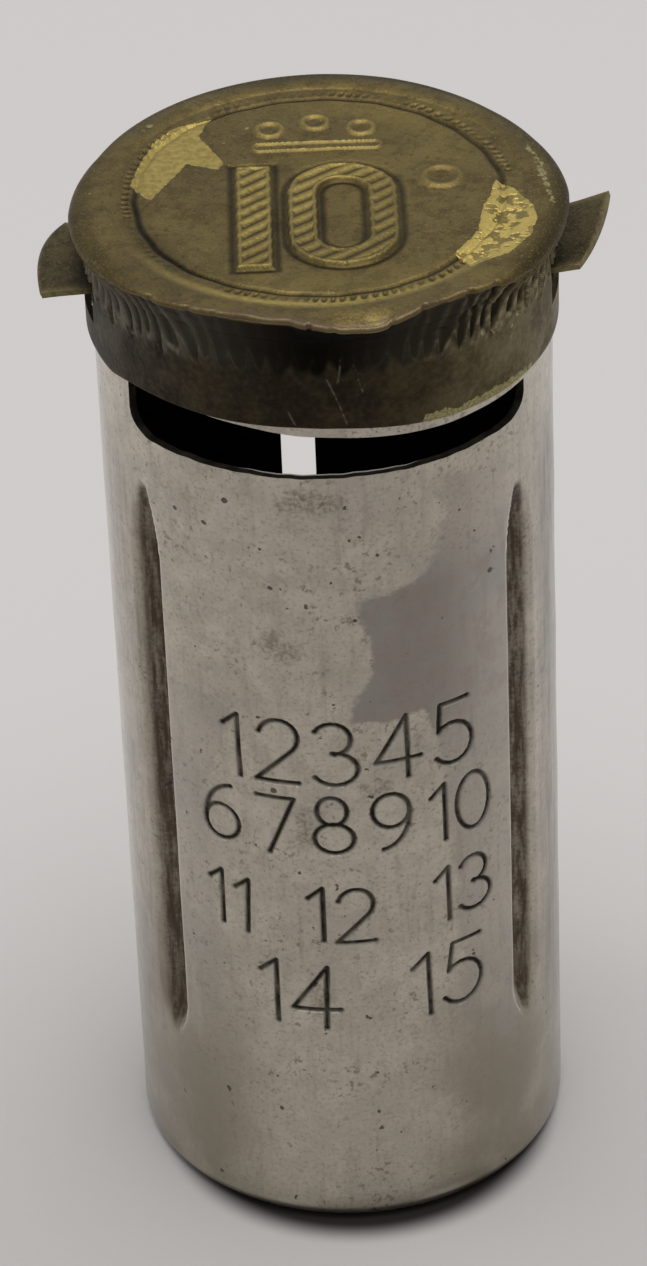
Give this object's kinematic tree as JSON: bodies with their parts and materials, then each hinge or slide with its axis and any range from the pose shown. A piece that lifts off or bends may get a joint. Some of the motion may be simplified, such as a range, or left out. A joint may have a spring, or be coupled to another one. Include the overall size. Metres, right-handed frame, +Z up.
{
  "type": "pocket savings bank",
  "caption": "Fluted metal tube that stacks dimes, with a coin slot, a gauge slit, and a lift-off brass cap locked by eared latches until the last coin frees it.",
  "frame": {"origin": "centre of the tube's underside", "axes": "+Z up along the tube's axis, -Y out through the coin slot, +X to the right seen from the slot"},
  "size_m": [0.027, 0.0236, 0.0551],
  "materials": {
    "nickel": "dull worn nickel plate, stained",
    "cap_brass": "dark tarnish with bright worn patches",
    "latch_brass": "dark tarnish",
    "inner_brass": "plain, slightly tarnished",
    "steel": "plain drawn wire"
  },
  "bodies": {
    "tube": {"tube_body": "nickel", "base_disc": "nickel"},
    "cap": {"cap_shell": "cap_brass", "cap_liner": "inner_brass", "left_hinge_pin": "steel", "right_hinge_pin": "steel", "lock_spring": "steel"},
    "left_latch": {"left_latch": "latch_brass"},
    "right_latch": {"right_latch": "latch_brass"},
    "lock": {"lock_cup": "inner_brass", "lock_stem": "steel"}
  },
  "joints": [
    {"name": "cap_lift", "type": "slide", "parent": "tube", "child": "cap", "axis": [0, 0, 1], "range_m": [0, 0.012]},
    {"name": "lock_drop", "type": "slide", "parent": "cap", "child": "lock", "axis": [0, 0, -1], "range_m": [0, 0.0007], "deforming": ["lock_spring"]},
    {"name": "left_latch_swing", "type": "hinge", "parent": "cap", "child": "left_latch", "pos_m": [-0.00985, 0, 0.05245], "axis": [0, 1, 0], "range_deg": [0, 7.6]},
    {"name": "right_latch_swing", "type": "hinge", "parent": "cap", "child": "right_latch", "pos_m": [0.00985, 0, 0.05245], "axis": [0, -1, 0], "range_deg": [0, 7.6]}
  ],
  "couplings": [
    {"joint": "left_latch_swing", "follows": "lock_drop", "rad_per_m": 189.49},
    {"joint": "right_latch_swing", "follows": "lock_drop", "rad_per_m": 189.49}
  ]
}
